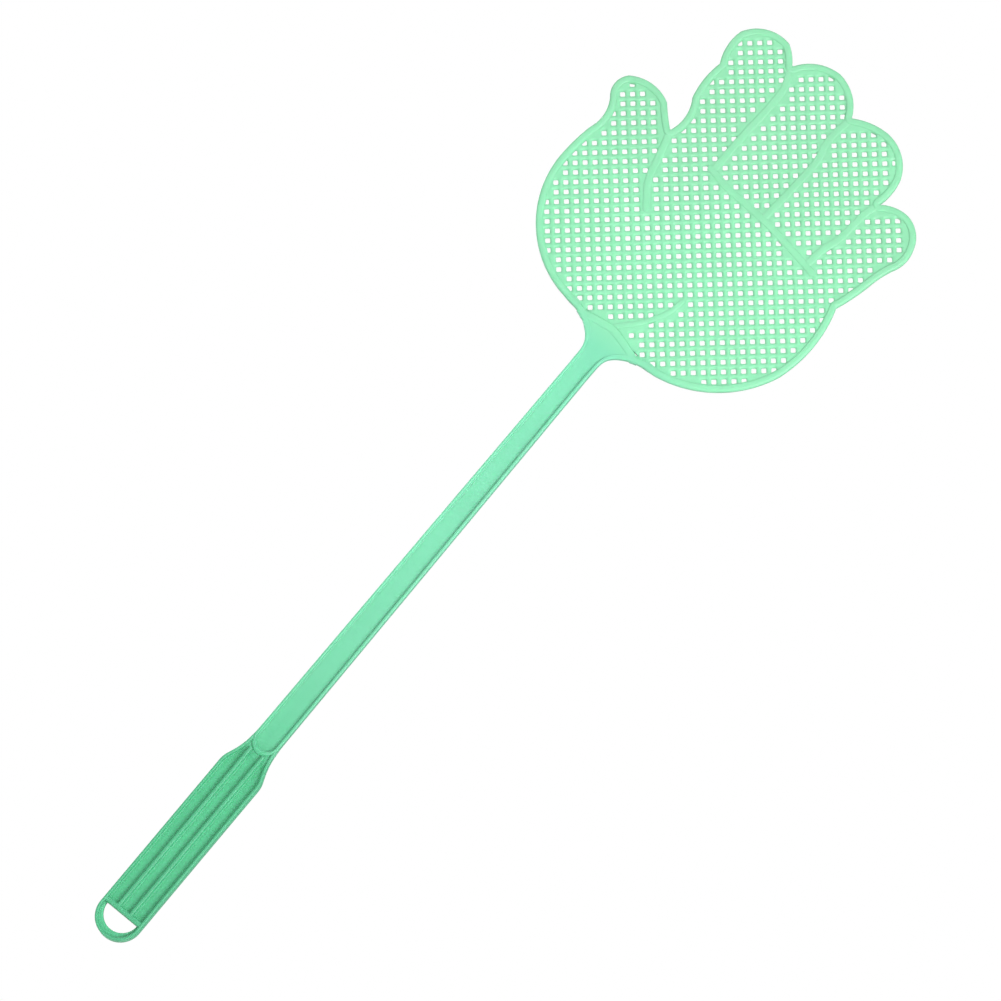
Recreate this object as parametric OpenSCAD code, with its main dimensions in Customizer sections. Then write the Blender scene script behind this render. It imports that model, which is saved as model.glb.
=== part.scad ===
// Hand-shaped fly swatter, a single plastic moulding shown as its moulded regions.
// X runs across the hand, Y through the thickness with the front face at -Y, and
// Z up the shaft. The origin is the centre of the grip.

/* [Grip] */
// Width of the grip
grip_w = 19; // [17:0.5:22]
// Length of the grip, from its end wall to the foot of the shaft
grip_l = 80.5; // [70:0.5:95]
// Thickness of the grip's walls and ribs
grip_t = 7; // [6:0.5:9]
// Width of the walls round the grip's channels
wall_w = 1.2; // [1:0.1:1.6]
// Width of each rib between the channels
rib_w = 1.6; // [1.2:0.1:2]
// Distance of each rib from the middle of the grip
rib_offset = 3; // [2.6:0.1:3.6]
// Thickness of the floor between the ribs
floor_t = 2; // [1.6:0.2:3]
// Length of the shoulders, where the grip narrows to the shaft
shoulder_l = 10.5; // [8:0.5:14]

/* [Hanging loop] */
// Depth of the D-shaped hole below the end wall
eye_h = 7.2; // [6.5:0.1:8]
// Width of the D-shaped hole at the end wall
eye_w = 14.8; // [13:0.1:15]
// Height of the loop's band below the hole
loop_band = 3.6; // [3:0.1:4.5]
// Thickness of the loop's band inside its lip
loop_t = 3; // [2.4:0.2:4]

/* [Shaft] */
// Length of the shaft, from its foot to the neck
shaft_l = 203; // [150:1:260]
// Width of the shaft at the grip
shaft_w = 11.4; // [10.5:0.1:13]
// Width of the shaft at the neck
neck_w = 9.4; // [9:0.1:10]
// Width of the rail along each edge of the shaft
rail_w = 1.2; // [0.9:0.1:1.5]
// Thickness of the rails
rail_t = 4.4; // [3.6:0.2:4.6]
// Thickness of the web between the rails
web_t = 1.8; // [1.4:0.2:2.4]
// Height of the flex joint above the foot of the shaft
flex_up = 108; // [60:1:140]
// Clearance round the knuckle of the flex joint
flex_gap = 0.08; // [0.06:0.01:0.1]

/* [Head] */
// Width of the rim round the hand
rim_w = 2.8; // [2.2:0.1:3.2]
// Thickness of the rim
rim_t = 2.8; // [2.4:0.2:3.4]
// Width of the creases between the fingers and across the palm
crease_w = 3; // [2.6:0.1:3.6]
// Thickness of the creases
crease_t = 2.4; // [2:0.2:2.8]
// Thickness of the mesh
mesh_t = 1.8; // [1.4:0.2:2.2]
// Distance between the centres of neighbouring holes
mesh_pitch = 3.97; // [3.6:0.01:4.4]
// Width of each square hole
hole_w = 2; // [1.6:0.1:2.4]
// Slope of the rows of holes across the hand, in degrees
mesh_slope = 41; // [35:1:50]

/* [Hidden] */

arc_steps = 10;            // straight pieces in each arc of an outline
slack = 40;                // how far a cutting shape reaches past the grip or shaft
reach = 500;               // longer than the whole swatter

end_z = -grip_l / 2;       // lower face of the grip's end wall
foot_z = grip_l / 2;       // lower edge of the shaft's foot
neck_z = foot_z + shaft_l; // where the shaft meets the hand
flex_z = foot_z + flex_up; // axis of the flex joint

end_wall_h = 2;            // height of the grip's end wall
rib_t = grip_t - 0.4;      // the ribs stop just below the walls
shoulder_bulge = -0.7;     // how far each shoulder curves in from a straight line
foot_t = 5.2;              // thickness of the shaft's foot
foot_band = 2;             // width of the foot's band below the web
ridge_w = 1;               // width of the ridge across the top of the neck
ridge_t = 3;               // thickness of the ridge

mesh_anchor = [3.8, 52.7]; // centre of one hole, from the middle of the neck
mesh_reach = 26;           // rows of holes on each side of that hole

// The hand's outline, clockwise from the left of the neck as seen from the front.
// Each row is a corner, measured from the middle of the neck, and how far the arc
// to the next corner bulges out of the hand. A minus sign curves it inwards.
HAND = [
    [-neck_w / 2, 0, -3.2],   // fillet of the neck
    [-17, 13.7, 0.2],
    [-23, 14.3, 10],          // ball of the thumb
    [-61.2, 56, 0.5],
    [-59.6, 74.5, -1.9],      // waist of the thumb
    [-61.2, 89.5, 2.3],       // thumb
    [-61, 101.2, 2.8],
    [-42, 102, -0.2],
    [-34, 94, -2],            // gap beside the thumb
    [-35.6, 110, 1.1],        // index finger
    [-36, 128, 1.4],
    [-38, 143.5, 3.6],
    [-19.5, 152, 0.5],
    [-12.8, 145.4, 2.6],      // middle finger
    [4, 155, 2.5],
    [19, 143.6, 1.1],         // ring finger
    [34, 147.7, 2.9],
    [49.8, 136, 0.9],
    [49.8, 122.6, 1.2],       // little finger
    [61.5, 126, 2.1],
    [71.8, 116, 1.2],
    [70.5, 104.5, -0.3],
    [67.5, 95, 0.4],
    [62.8, 78.5, 2.9],        // edge of the palm
    [62.7, 42, 6.2],
    [25, 11.7, 0.1],
    [18, 11.3, -2.7],         // fillet of the neck
    [neck_w / 2, 0, 0]
];

// Middle lines of the creases, as corners measured from the middle of the neck.
THUMB_LINE = [[-35, 96], [-34, 94], [-31.5, 86], [-30, 80], [-28.7, 75], [-26.5, 70],
    [-23.5, 66], [-21, 62.5]];
INDEX_LINE = [[-13.5, 149], [-12.8, 145.4], [-9.7, 136], [-9.3, 128], [-10, 110], [-10.3, 91.5]];
MIDDLE_LINE = [[19.5, 147], [19, 143.6], [17.7, 135], [17.8, 128], [19.3, 121], [19, 110],
    [18.3, 98], [17.5, 88.5]];
RING_LINE = [[50.5, 126], [49.8, 122.6], [47.5, 116], [46.8, 108], [46, 101], [43.8, 94], [42.5, 84.3]];
KNUCKLE_LINE = [[-11.5, 91.8], [-2, 89.8], [9, 89], [20, 88.2], [30, 86.7], [39, 85], [47, 83.5]];
WRIST_LINE = [[-2, 14], [1, 18.5], [6, 24], [10.5, 30.5], [13, 36], [14, 42]];

// The line across the top of the neck, in the same form as the outline.
RIDGE = [[-16, 12.2, 0.5], [0, 15.2, 0.6], [16, 9.8, 0]];

// Points along the arc from p towards q that bulges by s to the left of its chord.
function arc_points(p, q, s) =
    abs(s) < 0.01 ? [p] :
    let (
        chord = q - p,
        len = norm(chord),
        radius = (len * len / 4 + s * s) / (2 * abs(s)),
        side = [-chord.y, chord.x] / len,
        centre = (p + q) / 2 + side * (s - sign(s) * radius),
        from = atan2(p.y - centre.y, p.x - centre.x),
        turn = 2 * asin(len / (2 * radius)) * (s > 0 ? -1 : 1)
    )
    [for (k = [0 : arc_steps - 1])
        centre + radius * [cos(from + turn * k / arc_steps), sin(from + turn * k / arc_steps)]];

// All the points of an outline that is given as corners and bulges.
function arc_chain(rows) = [
    for (i = [0 : len(rows) - 2])
        each arc_points([rows[i].x, rows[i].y], [rows[i + 1].x, rows[i + 1].y], rows[i].z),
    [rows[len(rows) - 1].x, rows[len(rows) - 1].y]
];

// Direction of a line of points at its corner i.
function heading(path, i) =
    let (
        before = path[max(i - 1, 0)],
        after = path[min(i + 1, len(path) - 1)]
    )
    (after - before) / norm(after - before);

// One edge of a ribbon that follows a line of points, at a distance d to its left.
function beside(path, d) = [
    for (i = [0 : len(path) - 1])
        path[i] + d * [-heading(path, i).y, heading(path, i).x]
];

// The points of a line in the opposite order, from one corner to another, or the last one.
function reversed(path) = [for (i = [len(path) - 1 : -1 : 0]) path[i]];
function stretch(path, first, final) = [for (i = [first : final]) path[i]];
function last(path) = path[len(path) - 1];

// A slab of thickness t, centred on the middle plane, from a shape drawn in X and Z.
module slab(t) {
    rotate([90, 0, 0]) linear_extrude(height = t, center = true) children();
}

// Moves a shape drawn from the middle of the neck to its place on the swatter.
module at_neck() {
    translate([0, neck_z]) children();
}

// Half of the plane, left (side = -1) or right (side = 1) of the middle line.
module half_plane(side) {
    translate([side > 0 ? 0 : -reach, -reach]) square([reach, 2 * reach]);
}

// ---- Hanging loop ----

loop_bottom = end_z - eye_h - loop_band;

module loop_outline(inset = 0) {
    radius = grip_w / 2 - inset;
    centre_z = loop_bottom + grip_w / 2;
    difference() {
        union() {
            translate([0, centre_z]) circle(r = radius, $fn = 96);
            translate([-radius, centre_z]) square([2 * radius, slack]);
        }
        translate([-slack, end_z]) square([2 * slack, 2 * slack]);
    }
}

module eye() {
    translate([0, end_z]) intersection() {
        translate([-slack, -slack]) square([2 * slack, slack]);
        translate([0, eye_w / 2 - eye_h]) circle(d = eye_w, $fn = 96);
    }
}

module hanging_loop() color("mediumseagreen")
    slab(loop_t) difference() {
        loop_outline(wall_w);
        eye();
    }

module loop_lip() color("mediumseagreen")
    slab(grip_t) difference() {
        loop_outline();
        loop_outline(wall_w);
    }

// ---- Grip ----

// Half the width of the shaft at a height z.
function shaft_half(z) =
    (shaft_w + (neck_w - shaft_w) * (z - foot_z) / shaft_l) / 2;

// The grip's outline, pulled in by inset along its sides and shoulders only.
module grip_outline(inset = 0) {
    half = grip_w / 2 - inset;
    top_half = shaft_half(foot_z) - inset;
    side = concat(
        arc_points([half, foot_z - shoulder_l], [top_half, foot_z], shoulder_bulge),
        [[top_half, foot_z]]
    );
    polygon(concat([[half, end_z]], side, [for (p = reversed(side)) [-p.x, p.y]], [[-half, end_z]]));
}

module grip_wall(side) color("mediumseagreen")
    slab(grip_t) intersection() {
        difference() {
            grip_outline();
            grip_outline(wall_w);
        }
        half_plane(side);
    }

module rib_strip(side) {
    translate([side * rib_offset - rib_w / 2, end_z + end_wall_h])
        square([rib_w, grip_l - end_wall_h]);
}

module grip_end_wall() color("mediumseagreen")
    slab(grip_t) translate([-grip_w / 2 + wall_w, end_z])
        square([grip_w - 2 * wall_w, end_wall_h]);

module grip_floor() color("seagreen")
    slab(floor_t) difference() {
        grip_outline(wall_w);
        translate([-slack, end_z - slack]) square([2 * slack, slack + end_wall_h]);
    }

// A rib on the floor's front face (face = -1) or its back face (face = 1).
module grip_rib(side, face) color("mediumaquamarine") {
    rib_h = (rib_t - floor_t) / 2;
    translate([0, face * (floor_t + rib_h) / 2, 0]) slab(rib_h) rib_strip(side);
}

// ---- Shaft ----

// The shaft between two heights, pulled in by inset along both sides.
module shaft_strip(z0, z1, inset = 0) {
    polygon([
        [-shaft_half(z0) + inset, z0], [shaft_half(z0) - inset, z0],
        [shaft_half(z1) - inset, z1], [-shaft_half(z1) + inset, z1]
    ]);
}

web_end_r = shaft_half(foot_z) - rail_w;   // the web's lower end is round
web_end_z = foot_z + foot_band + web_end_r;

module shaft_foot() color("mediumaquamarine")
    slab(foot_t) difference() {
        shaft_strip(foot_z, web_end_z);
        translate([0, web_end_z]) circle(r = web_end_r, $fn = 64);
    }

module lower_web() color("aquamarine") {
    slab(web_t) {
        shaft_strip(web_end_z, flex_z, rail_w);
        intersection() {
            translate([0, web_end_z]) circle(r = web_end_r, $fn = 64);
            translate([-slack, web_end_z - slack]) square([2 * slack, slack]);
        }
    }
    knuckle(-web_half, web_half);
}

web_half = shaft_half(flex_z) - rail_w;    // half the web's width at the flex joint

// A round bar across the shaft at the flex joint, from x0 to x1.
module knuckle(x0, x1, gap = 0) {
    translate([x0, 0, flex_z]) rotate([0, 90, 0])
        cylinder(r = rail_t / 2 + gap, h = x1 - x0, $fn = 48);
}

module lower_rail(side) color("mediumaquamarine") {
    slab(rail_t) intersection() {
        difference() {
            shaft_strip(web_end_z, flex_z);
            shaft_strip(web_end_z - 1, flex_z + 1, rail_w);
        }
        half_plane(side);
    }
    knuckle(side > 0 ? web_half : -shaft_half(flex_z), side > 0 ? shaft_half(flex_z) : -web_half);
}

module upper_web() color("aquamarine")
    difference() {
        slab(web_t) shaft_strip(flex_z, neck_z, rail_w);
        knuckle(-slack, slack, flex_gap);
    }

module upper_rail(side) color("mediumaquamarine")
    difference() {
        slab(rail_t) intersection() {
            difference() {
                shaft_strip(flex_z, neck_z);
                shaft_strip(flex_z - 1, neck_z + 1, rail_w);
            }
            half_plane(side);
        }
        knuckle(-slack, slack, flex_gap);
    }

// ---- Neck ----

module hand() at_neck() polygon(arc_chain(HAND));

// The hand with a short stub of shaft below it, so that the neck stays open when inset.
module hand_on_shaft() {
    hand();
    at_neck() translate([-neck_w / 2, -slack]) square([neck_w, slack]);
}

// Everything below the ridge, moved down by drop.
module below_ridge(drop = 0) {
    at_neck() translate([0, -drop])
        polygon(concat(arc_chain(RIDGE), [[RIDGE[2].x, -slack], [RIDGE[0].x, -slack]]));
}

module neck() intersection() {
    hand();
    below_ridge();
}

module neck_web() color("aquamarine")
    slab(web_t) intersection() {
        neck();
        offset(r = -rail_w, $fn = 32) hand_on_shaft();
        below_ridge(ridge_w);
    }

module neck_flange(side) color("mediumaquamarine")
    slab(rail_t) difference() {
        intersection() {
            neck();
            below_ridge(ridge_w);
            half_plane(side);
        }
        offset(r = -rail_w, $fn = 32) hand_on_shaft();
    }

module neck_ridge() color("mediumaquamarine")
    slab(ridge_t) difference() {
        neck();
        below_ridge(ridge_w);
    }

// ---- Hand ----

// The hand above the ridge.
module head() difference() {
    hand();
    below_ridge();
}

// The field inside the rim, which the mesh and the creases fill.
module field() offset(r = -rim_w, $fn = 32) head();

// Corners of the part of the plane that each finger takes up. The boundaries run
// along the middle lines of the creases, from the gaps between the fingers, and
// the far values lie beyond the hand. The field's corners bound the holes.
left_far = -80;
right_far = 90;
top_far = 180;
field_low = [-64, 8];
field_high = [74, 157];
thumb_gap = [[-42, 106], [left_far, 125]];
little_gap = [[52, 130], [62, top_far]];
thumb_edge = stretch(THUMB_LINE, 1, 4);
thumb_root = stretch(THUMB_LINE, 2, 4);
index_edge = stretch(INDEX_LINE, 1, 5);
middle_edge = stretch(MIDDLE_LINE, 1, 7);
ring_edge = stretch(RING_LINE, 1, 6);
knuckle_mid = stretch(KNUCKLE_LINE, 1, 2);
knuckle_far = stretch(KNUCKLE_LINE, 3, 5);
above_index = [INDEX_LINE[0].x, top_far];
above_middle = [MIDDLE_LINE[0].x, top_far];
waist = [[left_far, 80.6], [-58, 80.6]];
palm_edge = [[62.8, 79.2], [right_far, 79.2]];

THUMB = concat(waist, reversed(thumb_edge), thumb_gap);
INDEX = concat([thumb_edge[1], thumb_edge[0]], thumb_gap, [[left_far, top_far], above_index],
    index_edge);
MIDDLE = concat(reversed(index_edge), [above_index, above_middle], middle_edge,
    reversed(knuckle_mid));
RING = concat(reversed(middle_edge), [above_middle], reversed(little_gap), ring_edge,
    reversed(knuckle_far));
LITTLE = concat(reversed(ring_edge), little_gap, [[right_far, top_far]], reversed(palm_edge));
PALM = concat([[left_far, -slack]], waist, reversed(thumb_root), [last(index_edge)],
    knuckle_mid, [last(middle_edge)], knuckle_far, [last(ring_edge)], palm_edge,
    [[right_far, -slack]]);

// The lowest and highest corners of the holes' centres that each region can need.
function low_corner(region) = [
    for (axis = [0, 1]) max(min([for (p = region) p[axis]]), field_low[axis])
];
function high_corner(region) = [
    for (axis = [0, 1]) min(max([for (p = region) p[axis]]), field_high[axis])
];

module crease_band(line) {
    at_neck() polygon(concat(beside(line, crease_w / 2), reversed(beside(line, -crease_w / 2))));
}

module holes(region) {
    low = low_corner(region);
    high = high_corner(region);
    for (i = [-mesh_reach : mesh_reach], j = [-mesh_reach : mesh_reach]) {
        centre = mesh_anchor + mesh_pitch * [
            i * cos(mesh_slope) - j * sin(mesh_slope),
            i * sin(mesh_slope) + j * cos(mesh_slope)
        ];
        if (centre.x > low.x && centre.x < high.x && centre.y > low.y && centre.y < high.y)
            translate(centre) rotate(mesh_slope) square(hole_w, center = true);
    }
}

module rim(region) color("mediumaquamarine")
    slab(rim_t) difference() {
        intersection() {
            head();
            at_neck() polygon(region);
        }
        field();
    }

module mesh(region) color("aquamarine")
    slab(mesh_t) difference() {
        intersection() {
            field();
            at_neck() polygon(region);
        }
        for (line = [THUMB_LINE, INDEX_LINE, MIDDLE_LINE, RING_LINE, KNUCKLE_LINE, WRIST_LINE])
            crease_band(line);
        at_neck() holes(region);
    }

module crease(line) color("mediumaquamarine")
    slab(crease_t) intersection() {
        field();
        crease_band(line);
    }

// A crease that ends at the knuckle crease.
module finger_crease(line) color("mediumaquamarine")
    slab(crease_t) difference() {
        intersection() {
            field();
            crease_band(line);
        }
        crease_band(KNUCKLE_LINE);
    }

hanging_loop();
loop_lip();
grip_end_wall();
grip_wall(-1);  // grip_wall_left
grip_wall(1);  // grip_wall_right
grip_floor();
grip_rib(-1, -1);  // grip_rib_left
grip_rib(1, -1);  // grip_rib_right
grip_rib(-1, 1);  // back_rib_left
grip_rib(1, 1);  // back_rib_right
shaft_foot();
lower_web();
lower_rail(-1);  // lower_rail_left
lower_rail(1);  // lower_rail_right
upper_web();
upper_rail(-1);  // upper_rail_left
upper_rail(1);  // upper_rail_right
neck_web();
neck_flange(-1);  // neck_flange_left
neck_flange(1);  // neck_flange_right
neck_ridge();
rim(THUMB);  // thumb_rim
rim(INDEX);  // index_rim
rim(MIDDLE);  // middle_rim
rim(RING);  // ring_rim
rim(LITTLE);  // little_rim
rim(PALM);  // palm_rim
mesh(THUMB);  // thumb_mesh
mesh(INDEX);  // index_mesh
mesh(MIDDLE);  // middle_mesh
mesh(RING);  // ring_mesh
mesh(LITTLE);  // little_mesh
mesh(PALM);  // palm_mesh
crease(THUMB_LINE);  // thumb_crease
finger_crease(INDEX_LINE);  // index_crease
finger_crease(MIDDLE_LINE);  // middle_crease
finger_crease(RING_LINE);  // ring_crease
crease(KNUCKLE_LINE);  // knuckle_crease
crease(WRIST_LINE);  // wrist_crease
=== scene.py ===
"""Hand-shaped fly swatter: one plastic moulding with a mesh hand, an H-section shaft and a ribbed grip.
Metres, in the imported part's frame: X across the hand, the front face at -Y, Z up the shaft."""

import math

import bmesh
import bpy
from mathutils import Matrix, Vector


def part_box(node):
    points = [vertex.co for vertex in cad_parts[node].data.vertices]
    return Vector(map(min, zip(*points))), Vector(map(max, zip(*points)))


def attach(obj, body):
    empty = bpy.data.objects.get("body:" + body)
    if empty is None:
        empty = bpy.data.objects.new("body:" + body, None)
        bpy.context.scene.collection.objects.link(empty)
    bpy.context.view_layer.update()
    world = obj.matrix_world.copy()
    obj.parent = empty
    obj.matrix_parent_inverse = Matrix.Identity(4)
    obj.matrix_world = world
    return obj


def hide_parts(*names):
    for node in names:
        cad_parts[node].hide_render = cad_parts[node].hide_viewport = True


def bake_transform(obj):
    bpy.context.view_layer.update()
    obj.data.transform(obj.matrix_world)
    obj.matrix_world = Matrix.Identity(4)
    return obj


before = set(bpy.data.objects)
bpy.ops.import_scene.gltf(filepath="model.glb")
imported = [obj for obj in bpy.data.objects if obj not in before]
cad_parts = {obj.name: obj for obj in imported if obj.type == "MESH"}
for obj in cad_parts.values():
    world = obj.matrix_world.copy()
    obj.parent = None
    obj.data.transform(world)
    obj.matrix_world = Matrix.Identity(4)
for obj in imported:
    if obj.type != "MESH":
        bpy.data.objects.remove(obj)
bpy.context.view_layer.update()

MM = 0.001

# ---- Places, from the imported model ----

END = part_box("grip_end_wall")[0].z           # lower face of the grip's end wall
END_WALL_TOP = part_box("grip_end_wall")[1].z
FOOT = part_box("shaft_foot")[0].z             # lower edge of the shaft's foot
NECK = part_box("upper_web")[1].z              # where the shaft meets the hand
GRIP_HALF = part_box("loop_lip")[1].x
LOOP_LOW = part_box("loop_lip")[0].z
WALL_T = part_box("grip_wall_left")[1].y       # half thicknesses, from the middle plane
RIB_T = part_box("back_rib_left")[1].y
FLOOR_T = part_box("grip_floor")[1].y
LOOP_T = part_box("hanging_loop")[1].y
FOOT_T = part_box("shaft_foot")[1].y
RAIL_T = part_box("upper_rail_left")[1].y
WEB_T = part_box("upper_web")[1].y
RIDGE_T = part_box("neck_ridge")[1].y
RIM_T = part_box("palm_rim")[1].y
CREASE_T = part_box("knuckle_crease")[1].y
MESH_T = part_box("palm_mesh")[1].y

# ---- Sizes that the boxes don't give ----

WALL_W = 1.2 * MM           # walls of the grip and rails of the shaft
RIB_W = 1.6 * MM
RIB_X = 3 * MM
SHOULDER = 10.5 * MM        # how far below the shaft's foot the grip's shoulders start
SHAFT_FOOT_HALF = 5.7 * MM
SHAFT_NECK_HALF = 4.7 * MM
FOOT_BAND = 2 * MM
EYE_R = 7.4 * MM            # radius of the D-shaped hole
EYE_DEPTH = 7.2 * MM
RIM_W = 2.8 * MM
CREASE_W = 3 * MM
WRIST_W = 2.2 * MM          # the wrist crease is narrower
PITCH = 3.97 * MM           # between neighbouring holes
MESH_SLOPE = math.radians(41)
MESH_ANCHOR = (3.8 * MM, 52.7 * MM)   # centre of one hole, from the middle of the neck
MESH_ROWS = 26              # rows of holes on each side of that one
FIELD_SHARE = 0.8           # share of the rim's width that the mesh stays inside the outline
NECK_WEB_T = RIM_T - 0.2 * MM    # half thickness of the web at the ridge
NECK_RISE = 9 * MM          # height over which the web thickens to that

# Right shoulder of the grip, in mm from the middle line and above the foot of the shaft.
SHOULDER_LINE = [(9.15, -8), (8.35, -5.8), (7.35, -3), (6.6, -0.2), (6.05, 3), (5.75, 7), (5.6, 12)]

# Where the shaft widens into the hand, in mm from the middle of the neck. The last point of each line
# picks the nearest point of the CAD hand's outline, and the rim starts at the point before it.
NECK_LEFT = [
    (-4.8, -3), (-4.9, 1.5), (-5.6, 4.6), (-7.5, 7.6),
    (-10.5, 10.3), (-13.8, 12.3), (-17, 13.4), (-20.5, 13.9),
]
NECK_RIGHT = [
    (4.8, -3), (5, 1.5), (5.8, 4.3), (7.8, 6.7),
    (10.9, 8.8), (14.3, 10.3), (17.8, 11.15), (21.5, 11.5),
]

# Arcs across the neck: first corner, last corner and bulge, in mm from its middle.
RIDGE_LEFT = ((-16, 12.2), (0, 15.2), 0.5)
RIDGE_RIGHT = ((0, 15.2), (16, 9.8), 0.6)
RIDGE_W = 1 * MM

# Middle lines of the creases, in mm from the middle of the neck.
THUMB_LINE = [(-33.6, 93), (-31.5, 86), (-30, 80), (-28.7, 75), (-26.5, 70), (-23.5, 66), (-21, 62.5)]
INDEX_LINE = [(-12.5, 144.4), (-9.7, 136), (-9.3, 128), (-10, 110), (-10.3, 91.5)]
MIDDLE_LINE = [(18.8, 142.4), (17.7, 135), (17.8, 128), (19.3, 121), (19, 110), (18.3, 98), (17.5, 88.5)]
RING_LINE = [(49.4, 121.6), (47.5, 116), (46.8, 108), (46, 101), (43.8, 94), (42.5, 84.3)]
KNUCKLE_LINE = [(-11.5, 91.8), (-2, 89.8), (9, 89), (20, 88.2), (30, 86.7), (39, 85), (47, 83.5)]
WRIST_LINE = [(-0.2, 17), (1.2, 18.8), (6, 24), (10.5, 30.5), (13, 36), (14, 42)]


# ---- Plane geometry: points are (x, z) vectors ----

def at_neck(x, z):
    return Vector((x * MM, NECK + z * MM))


def arc(start, end, bulge, steps):
    """Points from start to end along an arc that bulges to the left of its chord."""
    chord = end - start
    length = chord.length
    radius = (length * length / 4 + bulge * bulge) / (2 * bulge)
    side = Vector((-chord.y, chord.x)) / length
    centre = (start + end) / 2 + side * (bulge - radius)
    first = math.atan2(start.y - centre.y, start.x - centre.x)
    turn = -2 * math.asin(length / (2 * radius))
    points = []
    for k in range(steps + 1):
        angle = first + turn * k / steps
        points.append(centre + radius * Vector((math.cos(angle), math.sin(angle))))
    return points


def neck_arc(corners, steps):
    start, end, bulge = corners
    return arc(at_neck(*start), at_neck(*end), bulge * MM, steps)


def curve_through(points, step, sharp=math.radians(33)):
    """A smooth line through the points, which keeps its corners where it turns by more than sharp. With
    it comes a list that says which of its points are corners."""
    pieces = [end - start for start, end in zip(points, points[1:])]
    tangents = []
    corners = []
    for before, after in zip(pieces[:1] + pieces, pieces + pieces[-1:]):
        corner = before.angle(after) > sharp
        middle = (before + after).normalized()
        tangents.append((before.normalized(), after.normalized()) if corner else (middle, middle))
        corners.append(corner)
    line = []
    marks = []
    for i, (start, end) in enumerate(zip(points, points[1:])):
        length = (end - start).length
        steps = max(1, round(length / step))
        for k in range(steps):
            t = k / steps
            line.append(
                start * (2 * t**3 - 3 * t**2 + 1)
                + tangents[i][1] * length * (t**3 - 2 * t**2 + t)
                + end * (3 * t**2 - 2 * t**3)
                + tangents[i + 1][0] * length * (t**3 - t**2)
            )
            marks.append(corners[i] and k == 0)
    line.append(points[-1])
    marks.append(False)
    return line, marks


def left_normals(line):
    """For each point, the unit normals to the left of the piece before it and of the piece after it."""
    pieces = [end - start for start, end in zip(line, line[1:])]
    normals = [Vector((-d.y, d.x)).normalized() for d in pieces]
    return list(zip(normals[:1] + normals, normals + normals[-1:]))


def beside(line, distance):
    """The line moved to its left by one distance, or by one for each of its points."""
    distances = distance if isinstance(distance, list) else [distance] * len(line)
    moved = []
    for p, d, (before, after) in zip(line, distances, left_normals(line)):
        moved.append(p + (before + after) * d / (1 + before.dot(after)))
    return moved


def node_loops(names):
    """The outlines of the front faces of some CAD nodes of one thickness, without the lines between
    them."""
    edges = set()
    for name in names:
        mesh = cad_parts[name].data
        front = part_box(name)[0].y
        for face in mesh.polygons:
            corners = [mesh.vertices[v].co for v in face.vertices]
            if max(c.y for c in corners) > front + 1e-6:
                continue
            keys = [(round(c.x / MM, 2), round(c.z / MM, 2)) for c in corners]
            for start, end in zip(keys, keys[1:] + keys[:1]):
                if (end, start) in edges:
                    edges.remove((end, start))
                else:
                    edges.add((start, end))
    following = dict(sorted(edges))
    loops = []
    while following:
        here = next(iter(following))
        loop = []
        while here in following:
            loop.append(Vector(here) * MM)
            here = following.pop(here)
        loops.append(loop)
    return sorted(loops, key=lambda loop: -abs(area(loop)))


def area(loop):
    return sum(a.x * b.y - b.x * a.y for a, b in zip(loop, loop[1:] + loop[:1])) / 2


# ---- Solid builders ----

def new_piece(name, vertices, faces):
    mesh = bpy.data.meshes.new(name)
    mesh.from_pydata(vertices, [], faces)
    work = bmesh.new()
    work.from_mesh(mesh)
    bmesh.ops.remove_doubles(work, verts=work.verts, dist=1e-6)
    bmesh.ops.dissolve_degenerate(work, edges=work.edges, dist=1e-6)
    bmesh.ops.recalc_face_normals(work, faces=work.faces)
    work.to_mesh(mesh)
    work.free()
    piece = bpy.data.objects.new(name, mesh)
    bpy.context.scene.collection.objects.link(piece)
    return piece


def smooth(piece):
    mesh = piece.data
    mesh.polygons.foreach_set("use_smooth", [True] * len(mesh.polygons))
    mesh.set_sharp_from_angle(angle=math.radians(40))
    mesh.update()


ROUND_STEPS = 4


def round_edge(across, drop):
    """Profile of a rounded top edge, from the side face to the top, as (offset from the side, depth below
    the top)."""
    angles = [math.pi / 2 * k / ROUND_STEPS for k in range(ROUND_STEPS + 1)]
    return [(across * (1 - math.cos(a)), drop * (1 - math.sin(a))) for a in angles]


def fillet(across, rise):
    """Profile of a fillet at the foot of a side face, from the panel to the side, as (offset, height above
    the panel)."""
    angles = [math.pi / 2 * k / ROUND_STEPS for k in range(ROUND_STEPS + 1)]
    return [(-across * (1 - math.sin(a)), rise * (1 - math.cos(a))) for a in angles]


SINK = 0.03 * MM    # how far the foot of a fillet lies below the panel it meets


def section(width, half_t, outer, inner):
    """Cross-section of a bar, front outer edge first. Each side is (width of the rounded edge, its drop) or
    (width, drop, width of the fillet, half thickness of the panel). Points are (distance from the outer
    side, y)."""
    def side(style):
        across, drop, foot, panel = style if len(style) == 4 else (*style, None, None)
        points = []
        if foot is not None:
            low = panel - SINK
            rise = min(foot, half_t - drop - low)
            points = [(offset, low + height) for offset, height in fillet(foot, rise)]
        return points + [(offset, half_t - depth) for offset, depth in round_edge(across, drop)]

    left = [(offset, -height) for offset, height in side(outer)]
    right = [(width - offset, -height) for offset, height in side(inner)]
    front = left + right[::-1]
    return front + [(across, -y) for across, y in front[::-1]]


def bar(name, stations):
    """A solid that follows its stations. Each station is (outer point, inner point, section)."""
    vertices = []
    for outer, inner, points in stations:
        direction = (inner - outer).normalized()
        for across, y in points:
            place = outer + direction * across
            vertices.append((place.x, y, place.y))
    size = len(stations[0][2])
    count = len(stations)
    faces = []
    for k in range(count - 1):
        here, there = k * size, (k + 1) * size
        for i in range(size):
            j = (i + 1) % size
            faces.append((here + i, here + j, there + j, there + i))
    faces.append(tuple(range(size)))
    faces.append(tuple(reversed(range((count - 1) * size, count * size))))
    return new_piece(name, vertices, faces)


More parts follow.
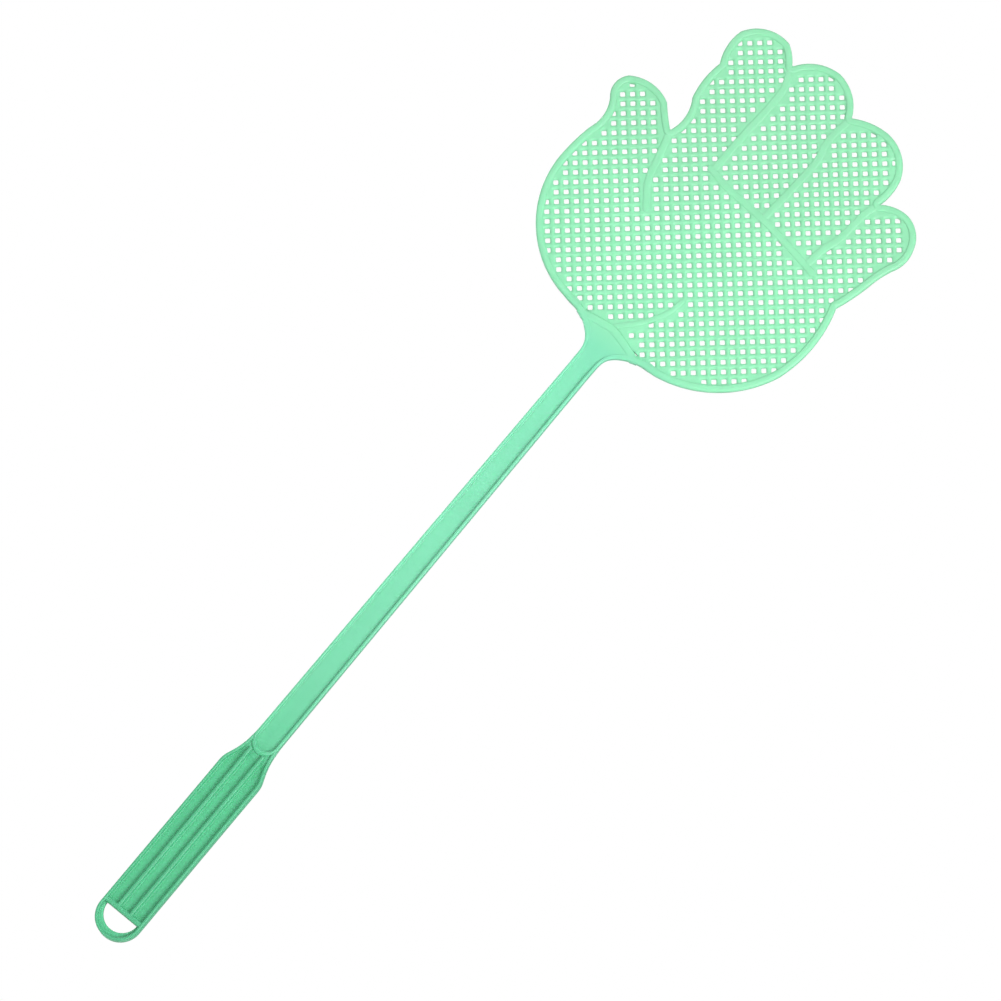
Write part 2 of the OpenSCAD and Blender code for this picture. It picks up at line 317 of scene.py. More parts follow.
def panel(name, rows, half_ts):
    """A plate through rows of points, all of one length, with a half thickness for each row."""
    width = len(rows[0])
    vertices = [(p.x, side * t, p.y) for side in (-1, 1) for row, t in zip(rows, half_ts) for p in row]
    layer = len(rows) * width
    faces = []
    for k in range(len(rows) - 1):
        for i in range(width - 1):
            a = k * width + i
            quad = (a, a + 1, a + width + 1, a + width)
            faces.append(quad)
            faces.append(tuple(layer + v for v in reversed(quad)))
    edge = list(range(width))
    edge += [k * width + width - 1 for k in range(1, len(rows))]
    edge += [(len(rows) - 1) * width + i for i in range(width - 2, -1, -1)]
    edge += [k * width for k in range(len(rows) - 2, 0, -1)]
    for a, b in zip(edge, edge[1:] + edge[:1]):
        faces.append((a, a + layer, b + layer, b))
    return new_piece(name, vertices, faces)


def between(start, end, steps):
    return [start.lerp(end, k / steps) for k in range(steps + 1)]


def steps_between(low, high, steps):
    return [low + (high - low) * k / steps for k in range(steps + 1)]


def ease(t):
    t = min(max(t, 0), 1)
    return t * t * (3 - 2 * t)


def ramp(z, z0, z1, a, b):
    return a + (b - a) * ease((z - z0) / (z1 - z0))


# ---- Materials ----

def node(tree, kind, x, y, **values):
    made = tree.nodes.new(kind)
    made.location = (x, y)
    for key, value in values.items():
        if hasattr(made, key):
            setattr(made, key, value)
        else:
            made.inputs[key.replace("_", " ")].default_value = value
    return made


# Colour of the plastic up the swatter, with painted shade: deepest in the grip, paler up the shaft, palest in
# the palm and a little deeper again in the fingers, darker where the light on the swatter is dimmer.
PAINTED_SHADE_COLOURS = [
    (END, (0.086, 0.485, 0.25)),
    (FOOT - 3 * MM, (0.088, 0.5, 0.258)),
    (FOOT + 3 * MM, (0.115, 0.51, 0.284)),
    (FOOT + 35 * MM, (0.143, 0.534, 0.32)),
    (FOOT + 110 * MM, (0.18, 0.6, 0.378)),
    (NECK + 6 * MM, (0.182, 0.61, 0.39)),
    (NECK + 17 * MM, (0.235, 0.644, 0.384)),
    (NECK + 60 * MM, (0.235, 0.64, 0.38)),
    (NECK + 100 * MM, (0.234, 0.61, 0.361)),
]


CLOUD_SHADE = 0.92      # the darkest clouds' share of the colour
GRAIN_BUMP = 0.05


def plastic(name, roughness, painted_crest_shade=1):
    """Moulded polypropylene: cloudy colour, a fine matt grain, faint flow lines and a waxy gloss. The last
    argument is the share of the colour that the tops of the walls and ribs keep: painted shade, so that they
    look no brighter than the shaded channels."""
    material = bpy.data.materials.new(name)
    material.use_nodes = True
    tree = material.node_tree
    shader = tree.nodes["Principled BSDF"]
    shader.inputs["IOR"].default_value = 1.49
    shader.inputs["Specular IOR Level"].default_value = 0.5
    shader.inputs["Subsurface Weight"].default_value = 0.4
    shader.inputs["Subsurface Radius"].default_value = (0.5, 1, 0.7)
    shader.inputs["Subsurface Scale"].default_value = 0.8 * MM
    place = node(tree, "ShaderNodeTexCoord", -1500, 0)
    flow = node(tree, "ShaderNodeMapping", -1300, 200)
    flow.inputs["Scale"].default_value = (260, 260, 26)
    tree.links.new(place.outputs["Object"], flow.inputs["Vector"])

    cloud = node(tree, "ShaderNodeTexNoise", -1100, 400, Scale=38, Detail=3, Roughness=0.55)
    streak = node(tree, "ShaderNodeTexNoise", -1100, 150, Scale=1, Detail=2, Roughness=0.5)
    grain = node(tree, "ShaderNodeTexNoise", -1100, -250, Scale=2600, Detail=2, Roughness=0.6)
    tree.links.new(place.outputs["Object"], cloud.inputs["Vector"])
    tree.links.new(flow.outputs["Vector"], streak.inputs["Vector"])
    tree.links.new(place.outputs["Object"], grain.inputs["Vector"])

    # The base colour follows the table of colours up the swatter, which paints shade darker towards the grip.
    low, high = PAINTED_SHADE_COLOURS[0][0], PAINTED_SHADE_COLOURS[-1][0]
    split = node(tree, "ShaderNodeSeparateXYZ", -1300, 700)
    tree.links.new(place.outputs["Object"], split.inputs[0])
    level = node(tree, "ShaderNodeMapRange", -1100, 700)
    level.inputs["From Min"].default_value = low
    level.inputs["From Max"].default_value = high
    tree.links.new(split.outputs["Z"], level.inputs["Value"])
    base = node(tree, "ShaderNodeValToRGB", -900, 700)
    for k, (z, colour) in enumerate(PAINTED_SHADE_COLOURS):
        stops = base.color_ramp.elements
        stop = stops[k] if k < 2 else stops.new(1)
        stop.position = (z - low) / (high - low)
        stop.color = (*colour, 1)
    tree.links.new(level.outputs["Result"], base.inputs["Fac"])

    blend = node(tree, "ShaderNodeMix", -900, 300, data_type="FLOAT")
    blend.inputs[0].default_value = 0.4
    tree.links.new(cloud.outputs["Fac"], blend.inputs[2])
    tree.links.new(streak.outputs["Fac"], blend.inputs[3])
    depth = node(tree, "ShaderNodeMapRange", -700, 300)
    depth.inputs["From Min"].default_value = 0.3
    depth.inputs["From Max"].default_value = 0.7
    depth.inputs["To Min"].default_value = CLOUD_SHADE
    depth.inputs["To Max"].default_value = 1
    tree.links.new(blend.outputs[0], depth.inputs["Value"])
    # Painted shade: the colour is darkened towards the tops of the walls and ribs, away from the middle
    # plane.
    height = node(tree, "ShaderNodeMath", -1100, 950, operation="ABSOLUTE")
    tree.links.new(split.outputs["Y"], height.inputs[0])
    top = node(tree, "ShaderNodeMapRange", -900, 950)
    top.inputs["From Min"].default_value = FLOOR_T
    top.inputs["From Max"].default_value = RIB_T - 0.3 * MM
    top.inputs["To Min"].default_value = 1
    top.inputs["To Max"].default_value = painted_crest_shade
    tree.links.new(height.outputs[0], top.inputs["Value"])
    both = node(tree, "ShaderNodeMath", -600, 700, operation="MULTIPLY")
    tree.links.new(depth.outputs["Result"], both.inputs[0])
    tree.links.new(top.outputs["Result"], both.inputs[1])
    tint = node(tree, "ShaderNodeVectorMath", -500, 500, operation="SCALE")
    tree.links.new(base.outputs["Color"], tint.inputs[0])
    tree.links.new(both.outputs[0], tint.inputs["Scale"])
    tree.links.new(tint.outputs["Vector"], shader.inputs["Base Color"])

    polish = node(tree, "ShaderNodeMapRange", -700, 0)
    polish.inputs["From Min"].default_value = 0.3
    polish.inputs["From Max"].default_value = 0.7
    polish.inputs["To Min"].default_value = roughness - 0.06
    polish.inputs["To Max"].default_value = roughness + 0.08
    tree.links.new(streak.outputs["Fac"], polish.inputs["Value"])
    tree.links.new(polish.outputs["Result"], shader.inputs["Roughness"])

    bump = node(tree, "ShaderNodeBump", -500, -250)
    bump.inputs["Strength"].default_value = GRAIN_BUMP
    bump.inputs["Distance"].default_value = 0.05 * MM
    tree.links.new(grain.outputs["Fac"], bump.inputs["Height"])
    tree.links.new(bump.outputs["Normal"], shader.inputs["Normal"])
    return material


SLOTS = {
    # The grip's wall and rib tops are painted darker, as painted shade.
    "grip_plastic": plastic("grip_plastic", 0.46, painted_crest_shade=0.84),
    "frame_plastic": plastic("frame_plastic", 0.42),
    "mesh_plastic": plastic("mesh_plastic", 0.44),
}


def finish_piece(piece, slot, replaced):
    smooth(piece)
    piece.data.materials.clear()
    piece.data.materials.append(SLOTS[slot])
    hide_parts(*replaced)


# ---- Grip ----

def shaft_half(z):
    return SHAFT_FOOT_HALF + (SHAFT_NECK_HALF - SHAFT_FOOT_HALF) * (z - FOOT) / (NECK - FOOT)


LOOP_CENTRE = LOOP_LOW + GRIP_HALF
BORDER_TOP = FOOT + 12 * MM     # where the grip's walls run into the rails


def side_of_grip(inset=0):
    """The right side of the grip from the loop's middle height up into the shaft, pulled in by inset."""
    wall = between(Vector((GRIP_HALF, LOOP_CENTRE)), Vector((GRIP_HALF, FOOT - SHOULDER)), 24)
    shoulder = wall[-2:] + [Vector((x * MM, FOOT + z * MM)) for x, z in SHOULDER_LINE]
    line = wall[:-2] + curve_through(shoulder, 1 * MM)[0]
    return beside(line, inset)


def grip_walls():
    right = side_of_grip()
    round_end = []
    for k in range(1, 40):
        angle = math.pi + math.pi * k / 40
        round_end.append(Vector((0, LOOP_CENTRE)) + GRIP_HALF * Vector((math.cos(angle), math.sin(angle))))
    left = [Vector((-p.x, p.y)) for p in reversed(right)]
    outer = left + round_end + right
    inner = beside(outer, WALL_W)
    stations = []
    for a, b in zip(outer, inner):
        half_t = ramp(a.y, FOOT - SHOULDER, FOOT, WALL_T, FOOT_T)
        half_t += ramp(a.y, FOOT, BORDER_TOP, 0, RAIL_T - FOOT_T - 0.1 * MM)
        panel_t = LOOP_T if a.y < END else FLOOR_T
        inside = (0.45 * MM, 0.4 * MM, 0.6 * MM, panel_t)
        points = section((b - a).length, half_t, (0.5 * MM, 0.5 * MM), inside)
        stations.append((a, b, points))
    piece = bar("grip_walls", stations)
    finish_piece(piece, "grip_plastic", ["grip_wall_left", "grip_wall_right", "loop_lip"])
    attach(piece, "handle")


def hanging_loop():
    """The band between the lip and the D-shaped hole."""
    centre = Vector((0, END + EYE_R - EYE_DEPTH))
    lip = GRIP_HALF - WALL_W / 2
    stations = []
    for k in range(49):
        angle = math.pi * (1 + k / 48)
        ray = Vector((math.cos(angle), math.sin(angle)))
        inner = centre + EYE_R * ray
        outer = Vector((0, LOOP_CENTRE)) + lip * ray
        if k in (0, 48):
            inner = Vector((inner.x, END + 0.5 * MM))
            outer = Vector((outer.x, END + 0.5 * MM))
        points = section((inner - outer).length, LOOP_T, (0.1 * MM, 0.1 * MM), (0.8 * MM, 0.6 * MM))
        stations.append((outer, inner, points))
    piece = bar("hanging_loop", stations)
    finish_piece(piece, "grip_plastic", ["hanging_loop"])
    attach(piece, "handle")


def grip_end_wall():
    half = GRIP_HALF - WALL_W / 2
    above = (0.5 * MM, 0.5 * MM, 0.6 * MM, FLOOR_T)
    stations = []
    for p in between(Vector((-half, END)), Vector((half, END)), 12):
        top = Vector((p.x, END_WALL_TOP))
        points = section(END_WALL_TOP - END, WALL_T - 0.15 * MM, (0.5 * MM, 0.5 * MM), above)
        stations.append((p, top, points))
    piece = bar("grip_end_wall", stations)
    finish_piece(piece, "grip_plastic", ["grip_end_wall"])
    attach(piece, "handle")


def grip_floor():
    inner = side_of_grip(WALL_W - 0.4 * MM)
    rows = []
    for p in inner:
        z = max(p.y, END + 0.5 * MM)
        if z < FOOT + 3 * MM and (not rows or z > rows[-1][0].y + 1e-6):
            rows.append([Vector((-p.x + 2 * p.x * i / 8, z)) for i in range(9)])
    half_ts = [ramp(row[0].y, FOOT - 4 * MM, FOOT + 0.5 * MM, FLOOR_T, FOOT_T - 0.8 * MM) for row in rows]
    piece = panel("grip_floor", rows, half_ts)
    finish_piece(piece, "grip_plastic", ["grip_floor"])
    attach(piece, "handle")


def grip_rib(side, name):
    left = RIB_X * side - RIB_W / 2
    style = (0.65 * MM, 0.55 * MM, 0.6 * MM, FLOOR_T)
    low = END_WALL_TOP - 0.5 * MM
    stations = []
    for z in steps_between(low, FOOT + 0.5 * MM, 20):
        points = section(RIB_W, RIB_T, style, style)
        stations.append((Vector((left, z)), Vector((left + RIB_W, z)), points))
    piece = bar("grip_rib_" + name, stations)
    finish_piece(piece, "grip_plastic", ["grip_rib_" + name, "back_rib_" + name])
    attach(piece, "handle")


# ---- Shaft and neck ----

HAND_PARTS = ("thumb", "index", "middle", "ring", "little", "palm")


def hand_outline():
    """The CAD hand's outline, anticlockwise from the right side of the neck round to the left side."""
    outline = node_loops([part + "_rim" for part in HAND_PARTS])[0]
    if area(outline) < 0:
        outline.reverse()
    start = max(range(len(outline)), key=lambda i: -(outline[i] - at_neck(*NECK_RIGHT[-1])).length)
    outline = outline[start:] + outline[:start]
    stop = max(range(len(outline)), key=lambda i: -(outline[i] - at_neck(*NECK_LEFT[-1])).length)
    return outline[:stop + 1]


HAND_OUTLINE = hand_outline()

WEB_END_R = shaft_half(FOOT) - WALL_W
WEB_END = FOOT + FOOT_BAND + WEB_END_R
SHAFT_STEPS = 70
NECK_ROWS = 16


def ridge_line():
    return neck_arc(RIDGE_LEFT, 12)[:-1] + neck_arc(RIDGE_RIGHT, 12)


def height_at(line, x):
    """Height of a line across the neck at x, level beyond its ends."""
    for a, b in zip(line, line[1:]):
        if min(a.x, b.x) <= x <= max(a.x, b.x) and a.x != b.x:
            return a.y + (b.y - a.y) * (x - a.x) / (b.x - a.x)
    return min((line[0], line[-1]), key=lambda p: abs(p.x - x)).y


def shaft_side(side, flare):
    """One side of the shaft, -1 for the left, from the web's round end up to the hand."""
    straight = [Vector((side * shaft_half(z), z)) for z in steps_between(WEB_END, NECK - 6 * MM, SHAFT_STEPS)]
    beyond = HAND_OUTLINE[1] if side > 0 else HAND_OUTLINE[-2]
    on_hand = HAND_OUTLINE[0] if side > 0 else HAND_OUTLINE[-1]
    widening = straight[-2:] + [at_neck(*p) for p in flare[:-1]] + [on_hand, beyond]
    line = curve_through(widening, 0.8 * MM)[0]
    return straight[:-2] + line[:line.index(widening[-2]) + 1]


def below_ridge(line):
    """The part of a side of the shaft below the ridge."""
    ridge = ridge_line()
    return [p for p in line if p.y < height_at(ridge, p.x) + 0.3 * MM]


def neck_web_t(z):
    return ramp(z, NECK, NECK + NECK_RISE, WEB_T, NECK_WEB_T)


def rail_width(z):
    return ramp(z, NECK + 2 * MM, NECK + 12 * MM, WALL_W, RIM_W - 0.3 * MM)


def shaft_rails():
    right = shaft_side(1, NECK_RIGHT)
    left = shaft_side(-1, NECK_LEFT)[::-1]
    foot = []
    deep = WEB_END - FOOT
    for k in range(1, 32):
        angle = math.pi * (1 + k / 32)
        foot.append(Vector((shaft_half(WEB_END) * math.cos(angle), WEB_END + deep * math.sin(angle))))
    outer = left + foot + right
    sides = beside(outer, [rail_width(p.y) for p in outer])
    stations = []
    for a, b in zip(outer, sides):
        if a.y < WEB_END - 1e-6:
            ray = Vector((a.x / shaft_half(WEB_END), (a.y - WEB_END) / deep))
            b = Vector((0, WEB_END)) + WEB_END_R * ray.normalized()
        half_t = ramp(a.y, WEB_END - 3 * MM, WEB_END + 6 * MM, FOOT_T, RAIL_T)
        half_t -= ramp(a.y, NECK - 8 * MM, NECK + 7 * MM, 0, RAIL_T - RIM_T - 0.03 * MM)
        slope = ramp(a.y, FOOT + 2 * MM, WEB_END, 1.2 * MM, 0.6 * MM)
        apron = ramp(a.y, FOOT + 3 * MM, WEB_END, 1.4 * MM, 0)
        outside = (slope, slope / 2, apron, FLOOR_T)
        inside = (0.5 * MM, 0.4 * MM, 0.6 * MM, neck_web_t(a.y))
        points = section((b - a).length, half_t, outside, inside)
        stations.append((a, b, points))
    piece = bar("shaft_rails", stations)
    replaced = ["shaft_foot", "neck_flange_left", "neck_flange_right"]
    replaced += [half + "_rail_" + side for half in ("lower", "upper") for side in ("left", "right")]
    finish_piece(piece, "frame_plastic", replaced)
    return piece


def shaft_web():
    cover = 0.5 * MM
    radius = WEB_END_R + cover
    rows = []
    for k in range(1, 13):
        angle = math.pi / 2 * k / 12
        half = radius * math.sin(angle)
        z = WEB_END - radius * math.cos(angle)
        rows.append(between(Vector((-half, z)), Vector((half, z)), 8))
    for z in steps_between(WEB_END, NECK, SHAFT_STEPS)[1:]:
        half = shaft_half(z) - WALL_W + cover
        rows.append(between(Vector((-half, z)), Vector((half, z)), 8))
    left = [p for p in beside(below_ridge(shaft_side(-1, NECK_LEFT)), -WALL_W) if p.y > NECK]
    right = [p for p in beside(below_ridge(shaft_side(1, NECK_RIGHT)), WALL_W) if p.y > NECK]
    ridge = ridge_line()
    for k in range(1, NECK_ROWS + 1):
        t = k / NECK_ROWS
        start = left[round(t * (len(left) - 1))]
        end = right[round(t * (len(right) - 1))]
        row = []
        for i in range(9):
            flat = start.lerp(end, i / 8)
            last = left[-1].lerp(right[-1], i / 8)
            lift = height_at(ridge, last.x) - 0.2 * MM - last.y
            row.append(flat + Vector((0, lift * t * t)))
        rows.append(row)
    half_ts = [neck_web_t(row[4].y) for row in rows]
    piece = panel("shaft_web", rows, half_ts)
    finish_piece(piece, "frame_plastic", ["lower_web", "upper_web", "neck_web"])
    return piece


def neck_ridge():
    """The arched step between the web and the mesh, with the part of the rim above it."""
    edge = sorted(shaft_side(-1, NECK_LEFT), key=lambda p: p.x)
    edge += sorted(shaft_side(1, NECK_RIGHT), key=lambda p: p.x)
    stations = []
    for p in ridge_line():
        low = p.y - RIDGE_W
        if abs(p.x) > shaft_half(NECK) + 1 * MM:
            low = max(low, height_at(edge, p.x) + 0.5 * MM)
        half_t = ramp(abs(p.x), 8 * MM, 13 * MM, RIDGE_T, RIM_T - 0.05 * MM)
        top, bottom = Vector((p.x, p.y + RIM_W - 0.6 * MM)), Vector((p.x, low))
        above = (0.8 * MM, 0.5 * MM, 0.2 * MM, MESH_T - 0.1 * MM)
        below = (0.6 * MM, 0.2 * MM, 0.8 * MM, NECK_WEB_T)
        points = section((top - bottom).length, half_t, above, below)
        stations.append((top, bottom, points))
    piece = bar("neck_ridge", stations)
    finish_piece(piece, "frame_plastic", ["neck_ridge"])
    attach(piece, "head")


# ---- Hand ----

def hand_line():
    """The hand's outline, anticlockwise from the right side of the neck round to the left side."""
    right = [at_neck(*p) for p in NECK_RIGHT[-3:-1]]
    left = [at_neck(*p) for p in NECK_LEFT[-2:-4:-1]]
    line, corners = curve_through(right + HAND_OUTLINE + left, 1.4 * MM)
    first, last = line.index(right[1]), line.index(left[0])
    return line[first:last + 1], corners[first:last + 1]


def rim_stations():
    """Outer and inner points round the hand, with a fan of stations at each gap between fingers."""
    line, corners = hand_line()
    pairs = []
    for i, (before, after) in enumerate(left_normals(line)):
        inside = before.cross(after) < 0
        if corners[i] and inside:
            turn = before.angle(after)
            fan = max(2, round(turn / math.radians(9)))
            for k in range(fan + 1):
                angle = -turn * k / fan
                normal = Matrix.Rotation(angle, 2) @ before
                pairs.append((line[i], line[i] + normal * RIM_W))
        else:
            pairs.append((line[i], line[i] + (before + after) * RIM_W / (1 + before.dot(after))))
    return pairs


RIM = rim_stations()


def hand_rim():
    style_out = (1.2 * MM, 0.75 * MM)
    style_in = (1.1 * MM, 0.4 * MM, 0.25 * MM, MESH_T - 0.1 * MM)
    stations = [(a, b, section((b - a).length, RIM_T, style_out, style_in)) for a, b in RIM]
    piece = bar("hand_rim", stations)
    finish_piece(piece, "mesh_plastic", [part + "_rim" for part in HAND_PARTS])
    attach(piece, "head")


# One cell of the mesh: half width of each ring and its depth below the crests.
CELL_RINGS = [(0.94, 0.0), (0.85, 0.05), (0.73, 0.17), (0.6, 0.37), (0.5, 0.66)]
CORNER = 0.3       # share of each half width that a ring's corner cuts off


def cell_ring(centre, half, y):
    """Eight points round a square with its corners cut off, turned to the slope of the mesh."""
    points = []
    rest = 1 - CORNER
    right_and_top = ((1, -rest), (1, rest), (rest, 1), (-rest, 1))
    left_and_bottom = ((-1, rest), (-1, -rest), (-rest, -1), (rest, -1))
    for x, z in right_and_top + left_and_bottom:
        points.append(turned(centre, x * half, z * half, y))
    return points


def turned(centre, x, z, y):
    c, s = math.cos(MESH_SLOPE), math.sin(MESH_SLOPE)
    return (centre.x + x * c - z * s, y, centre.y + x * s + z * c)


def crease_line(points):
    return curve_through([at_neck(*p) for p in points], 1 * MM, math.radians(90))[0]


def solid_places():
    """Points along the creases and the rim, each with the distance within which there is no hole."""
    reach = RIM_W / 2 + 0.4 * MM
    places = [(a.lerp(b, 0.5), reach) for a, b in RIM]
    places += [(p + Vector((0, RIM_W / 2)), reach) for p in ridge_line()]
    for points in (THUMB_LINE, INDEX_LINE, MIDDLE_LINE, RING_LINE, KNUCKLE_LINE):
        places += [(p, CREASE_W / 2 + 0.3 * MM) for p in crease_line(points)]
    places += [(p, WRIST_W / 2 + 0.1 * MM) for p in crease_line(WRIST_LINE)]
    return places


def cell_centre(i, j):
    c, s = math.cos(MESH_SLOPE), math.sin(MESH_SLOPE)
    x = MESH_ANCHOR[0] + PITCH * (i * c - j * s)
    z = NECK + MESH_ANCHOR[1] + PITCH * (i * s + j * c)
    return Vector((x, z))


def lattice():
    """The whole sheet of holes, larger than the hand, as one closed solid."""
    places = solid_places()
    vertices = []
    faces = []
    half = PITCH / 2
    low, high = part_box("thumb_rim")[0].x - PITCH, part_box("little_rim")[1].x + PITCH
    bottom, top = NECK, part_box("middle_rim")[1].z + PITCH
    cells = set()
    for i in range(-MESH_ROWS, MESH_ROWS + 1):
        for j in range(-MESH_ROWS, MESH_ROWS + 1):
            centre = cell_centre(i, j)
            if low < centre.x < high and bottom < centre.y < top:
                cells.add((i, j))
    through = [(share, -MESH_T + depth * MM) for share, depth in CELL_RINGS]
    through += [(share, MESH_T - depth * MM) for share, depth in reversed(CELL_RINGS)]
    for i, j in sorted(cells):
        centre = cell_centre(i, j)
        filled = any((centre - p).length < reach for p, reach in places)
        rings = [] if filled else through
        base = len(vertices)
        for share, y in rings:
            vertices += cell_ring(centre, half * share, y)
        count = len(rings)
        for r in range(count - 1):
            for k in range(8):
                a, b = base + r * 8 + k, base + r * 8 + (k + 1) % 8
                faces.append((a, b, b + 8, a + 8))
        for first, y in ((base, -MESH_T), (base + (count - 1) * 8, MESH_T)):
            edge = len(vertices)
            vertices += cell_ring(centre, half, y)
            corner = len(vertices)
            for x, z in ((1, 1), (-1, 1), (-1, -1), (1, -1)):
                vertices.append(turned(centre, x * half, z * half, y))
            if filled:
                around = []
                for k in range(8):
                    around.append(edge + k)
                    if k % 2:
                        around.append(corner + k // 2)
                faces.append(tuple(around))
                continue
            for k in range(8):
                a, b = k, (k + 1) % 8
                if k % 2:
                    faces.append((edge + a, corner + k // 2, edge + b, first + b, first + a))
                else:
                    faces.append((edge + a, edge + b, first + b, first + a))
        sides = (((1, 0), 0, 1, 3, 0), ((0, 1), 2, 3, 0, 1), ((-1, 0), 4, 5, 1, 2), ((0, -1), 6, 7, 2, 3))
        front, back = base + count * 8, base + count * 8 + 12
        for (di, dj), a, b, corner_a, corner_b in sides:
            if (i + di, j + dj) in cells:
                continue
            ring = (front + 8 + corner_a, front + a, front + b, front + 8 + corner_b)
            far = (back + 8 + corner_b, back + b, back + a, back + 8 + corner_a)
            faces.append(ring + far)
    return new_piece("hand_mesh", vertices, faces)


def prism(name, loop, half_t):
    count = len(loop)
    vertices = [(p.x, y, p.y) for y in (-half_t, half_t) for p in loop]
    faces = [tuple(range(count)), tuple(reversed(range(count, 2 * count)))]
    for k in range(count):
        j = (k + 1) % count
        faces.append((k, k + count, j + count, j))
    return new_piece(name, vertices, faces)


def hand_field():
    """The edge of the mesh, hidden inside the rim and the ridge."""
    above = [p + Vector((0, RIM_W * FIELD_SHARE)) for p in ridge_line() if abs(p.x) < 12 * MM]
    return [a.lerp(b, FIELD_SHARE) for a, b in RIM] + above


def hand_mesh():
    piece = lattice()
    cutter = prism("field", hand_field(), 3 * MM)
    cut = piece.modifiers.new("cut", "BOOLEAN")
    cut.operation = "INTERSECT"
    cut.solver = "MANIFOLD"
    cut.object = cutter
    shaped = bpy.data.meshes.new_from_object(piece.evaluated_get(bpy.context.evaluated_depsgraph_get()))
    piece.modifiers.clear()
    piece.data = shaped
    bpy.data.objects.remove(cutter)
    finish_piece(piece, "mesh_plastic", [part + "_mesh" for part in HAND_PARTS])
    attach(piece, "head")


CAP_WIDTHS = (0.15, 0.5, 0.8, 1)     # widths towards a crease's rounded end, as shares of its own


def crease(name, points, half_t, crease_w=CREASE_W):
    line = crease_line(points)
    half = crease_w / 2
    normals = left_normals(line)
    stations = []

    def station(p, i, width):
        side = (normals[i][0] + normals[i][1]).normalized() * half * width
        edge = (1.5 * side.length / 2, half_t - MESH_T + 0.03 * MM)
        stations.append((p + side, p - side, section(2 * side.length, half_t, edge, edge)))

    start, end = (line[0] - line[1]).normalized(), (line[-1] - line[-2]).normalized()
    for width in CAP_WIDTHS:
        station(line[0] + start * half * 0.8 * math.sqrt(1 - width**2), 0, max(width, 0.45))
    for i in range(1, len(line) - 1):
        station(line[i], i, 1)
    for width in reversed(CAP_WIDTHS):
        station(line[-1] + end * half * 0.8 * math.sqrt(1 - width**2), len(line) - 1, max(width, 0.45))
    piece = bar(name + "_crease", stations)
    finish_piece(piece, "mesh_plastic", [name + "_crease"])
    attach(piece, "head")


grip_walls()
hanging_loop()
grip_end_wall()
grip_floor()
grip_rib(-1, "left")
grip_rib(1, "right")

for piece in (shaft_rails(), shaft_web()):
    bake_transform(piece)
neck_ridge()

hand_rim()
hand_mesh()
FINGER_CREASE_T = CREASE_T - 0.04 * MM      # so that they end below the top of the knuckle crease
crease("thumb", THUMB_LINE, CREASE_T)
crease("index", INDEX_LINE, FINGER_CREASE_T)
crease("middle", MIDDLE_LINE, FINGER_CREASE_T)
crease("ring", RING_LINE, FINGER_CREASE_T)
crease("knuckle", KNUCKLE_LINE, CREASE_T)
crease("wrist", WRIST_LINE, CREASE_T, WRIST_W)


# ---- Stage ----

def floor_material():
    """A plain matt surface with a glow that only the camera sees, so that the floor looks almost white."""
    material = bpy.data.materials.new("floor")
    material.use_nodes = True
    tree = material.node_tree
    shader = tree.nodes["Principled BSDF"]
    shader.inputs["Base Color"].default_value = (0.8, 0.8, 0.79, 1)
    shader.inputs["Roughness"].default_value = 0.7
    shader.inputs["Emission Color"].default_value = (1, 1, 1, 1)
    path = node(tree, "ShaderNodeLightPath", -800, -400)
    strength = node(tree, "ShaderNodeMath", -600, -400, operation="MULTIPLY")
    strength.inputs[1].default_value = 0.62
    tree.links.new(path.outputs["Is Camera Ray"], strength.inputs[0])
    tree.links.new(strength.outputs[0], shader.inputs["Emission Strength"])
    return material


FLOOR = LOOP_LOW - 0.25      # well below the swatter
FLOOR_HALF = 12
floor_mesh = bpy.data.meshes.new("floor")
floor_corners = [(x * FLOOR_HALF, y * FLOOR_HALF, FLOOR) for x, y in ((-1, -1), (1, -1), (1, 1), (-1, 1))]
floor_mesh.from_pydata(floor_corners, [], [(0, 1, 2, 3)])
floor_mesh.materials.append(floor_material())
floor = bpy.data.objects.new("floor", floor_mesh)
bpy.context.scene.collection.objects.link(floor)


# ---- Light ----

def area_light(name, place, target, size, power):
    data = bpy.data.lights.new(name, "AREA")
    data.shape = "DISK"
    data.size = size
    data.energy = power
    light = bpy.data.objects.new(name, data)
    bpy.context.scene.collection.objects.link(light)
    light.location = place
    light.rotation_euler = (Vector(target) - Vector(place)).to_track_quat("-Z", "Y").to_euler()


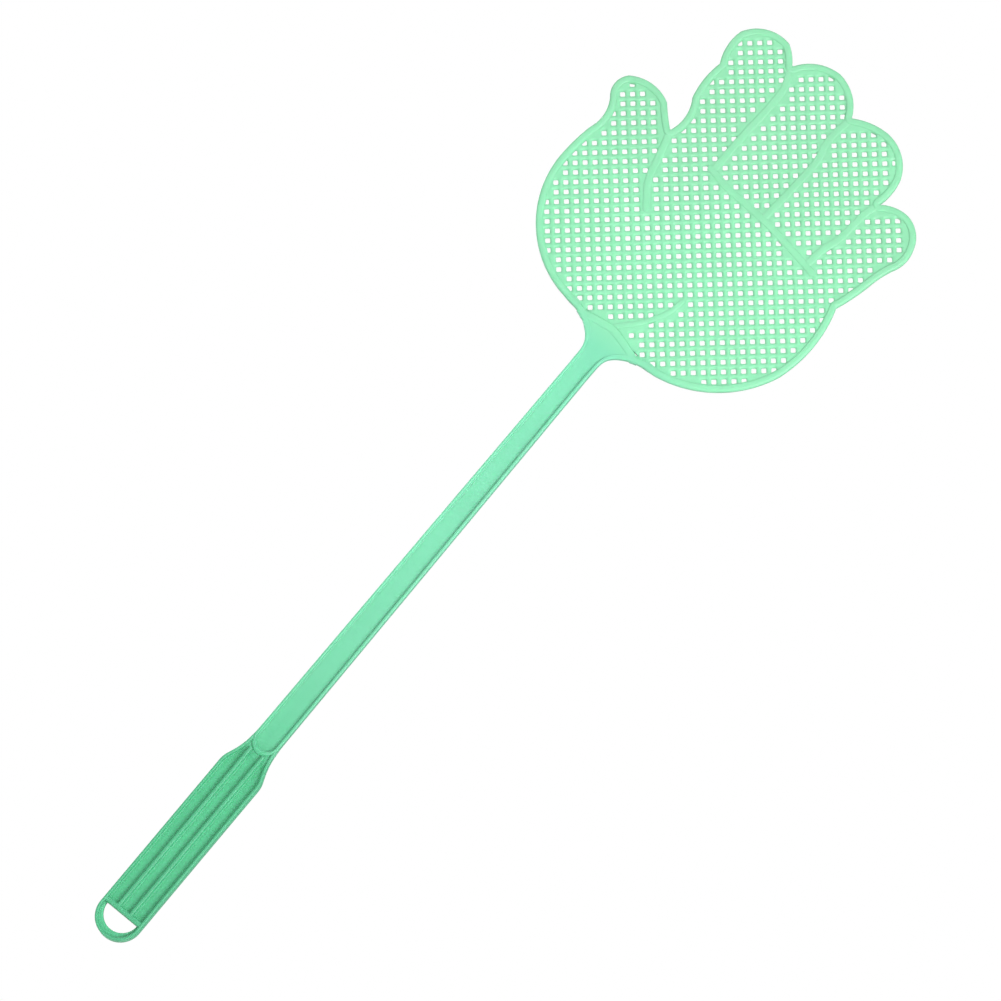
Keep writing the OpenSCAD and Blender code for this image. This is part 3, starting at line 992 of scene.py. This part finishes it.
HEAD_CENTRE = (0, 0, NECK + 80 * MM)
area_light("key", (0.9, -1.1, 0.35), HEAD_CENTRE, 1, 20.3)
area_light("fill", (-0.9, -1.3, 0.9), HEAD_CENTRE, 1.2, 9)
area_light("back", (-0.8, 1.4, 0.7), HEAD_CENTRE, 1.2, 16)

# The camera sees a white background, and the sky that lights the swatter is weaker.
world = bpy.data.worlds.new("studio")
bpy.context.scene.world = world
world.use_nodes = True
tree = world.node_tree
sky = tree.nodes["Background"]
sky.inputs["Color"].default_value = (1, 1, 1, 1)
sky.inputs["Strength"].default_value = 0.42
seen = node(tree, "ShaderNodeBackground", -200, -200)
seen.inputs["Color"].default_value = (1, 1, 1, 1)
seen.inputs["Strength"].default_value = 1.0
path = node(tree, "ShaderNodeLightPath", -400, 200)
choose = node(tree, "ShaderNodeMixShader", 200, 0)
tree.links.new(path.outputs["Is Camera Ray"], choose.inputs["Fac"])
tree.links.new(sky.outputs["Background"], choose.inputs[1])
tree.links.new(seen.outputs["Background"], choose.inputs[2])
tree.links.new(choose.outputs["Shader"], tree.nodes["World Output"].inputs["Surface"])
bpy.context.scene.view_settings.view_transform = "Standard"

# ---- Camera: it faces the front, tilted and rolled so that the shaft runs up to the right ----

ROLL = math.radians(39.31)      # of the shaft from the upright of the picture
TILT = math.radians(12.3)
DISTANCE = 1.84
TARGET = Vector((0.0093, 0, 0.1777))     # shown at the middle of the picture
right = Vector((math.cos(ROLL), 0, math.sin(ROLL)))
upright = Vector((-math.sin(ROLL), 0, math.cos(ROLL)))
ahead = math.cos(TILT) * Vector((0, 1, 0)) + math.sin(TILT) * upright
up = math.cos(TILT) * upright - math.sin(TILT) * Vector((0, 1, 0))
camera_data = bpy.data.cameras.new("camera")
camera_data.lens = 169.04
camera_data.sensor_width = 36
camera_data.clip_start = 0.1
camera_data.clip_end = 60
camera = bpy.data.objects.new("camera", camera_data)
bpy.context.scene.collection.objects.link(camera)
turn = Matrix((right, up, -ahead)).transposed().to_4x4()
camera.matrix_world = Matrix.Translation(TARGET - DISTANCE * ahead) @ turn
bpy.context.scene.camera = camera

bpy.context.view_layer.update()
